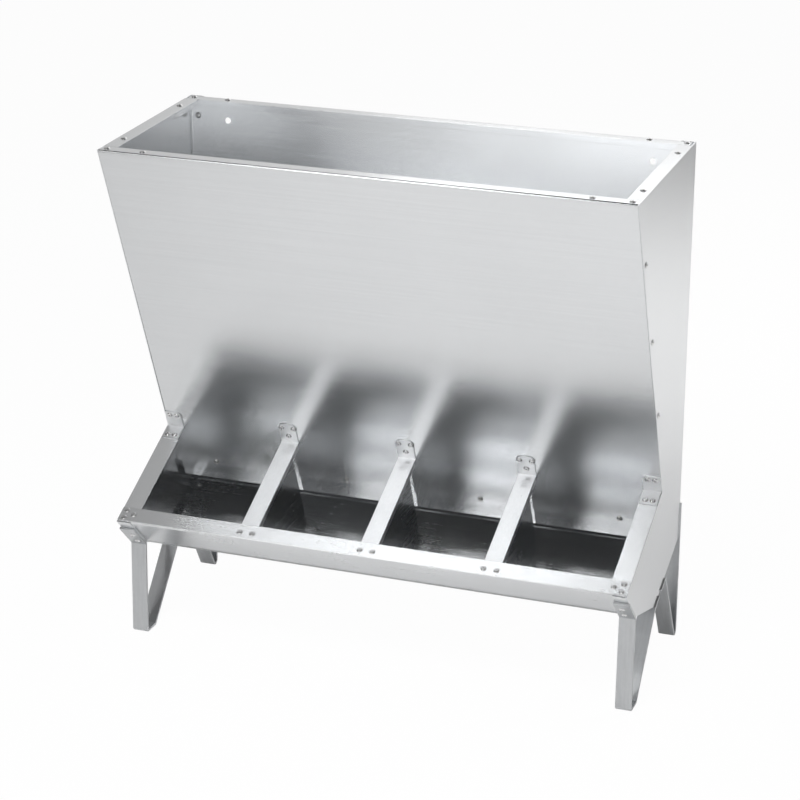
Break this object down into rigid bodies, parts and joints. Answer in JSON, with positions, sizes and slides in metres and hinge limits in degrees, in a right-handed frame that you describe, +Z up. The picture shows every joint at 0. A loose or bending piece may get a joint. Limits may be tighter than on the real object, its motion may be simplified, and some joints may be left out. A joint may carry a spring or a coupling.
{
  "type": "pig feeder",
  "caption": "Floor-standing sheet-metal hopper feeder with a sloped front, an adjustable feed gate and a trough split into feeding places by crossbars.",
  "frame": {"origin": "on the floor under the middle of the feeder's outer box", "axes": "+X along the feeder, +Y towards its back, +Z up; the feeding side faces -Y"},
  "size_m": [0.804, 0.3388, 0.7968],
  "materials": {
    "galvanised_sheet": "satin galvanised",
    "galvanised_strap": "satin galvanised",
    "zinc_plated_steel": "bright zinc",
    "rivet": "satin"
  },
  "bodies": {
    "frame": {"back_panel": "galvanised_sheet", "side_panel_left": "galvanised_sheet", "side_panel_right": "galvanised_sheet", "front_panel": "galvanised_sheet", "trough": "galvanised_sheet", "corner_plate_front_left": "galvanised_sheet", "corner_plate_front_right": "galvanised_sheet", "corner_plate_rear_left": "galvanised_sheet", "corner_plate_rear_right": "galvanised_sheet", "crossbar_left": "galvanised_sheet", "crossbar_middle": "galvanised_sheet", "crossbar_right": "galvanised_sheet", "divider_left": "galvanised_sheet", "divider_middle": "galvanised_sheet", "divider_right": "galvanised_sheet", "end_tab_left": "galvanised_sheet", "end_tab_right": "galvanised_sheet", "gate_bolts": "zinc_plated_steel", "gate_washers": "zinc_plated_steel", "gate_nuts": "zinc_plated_steel", "leg_front_left": "galvanised_strap", "leg_front_right": "galvanised_strap", "leg_rear_left": "galvanised_strap", "leg_rear_right": "galvanised_strap", "rim_rivets": "rivet", "side_rivets": "rivet", "back_rivets": "rivet", "lap_rivets": "rivet", "lip_rivets": "rivet", "tab_rivets": "rivet", "leg_rivets": "rivet"},
    "gate": {"feed_gate": "galvanised_sheet"}
  },
  "joints": [
    {"name": "gate_slide", "type": "slide", "parent": "frame", "child": "gate", "axis": [0, 0.3828, -0.9238], "range_m": [0, 0.045]}
  ]
}
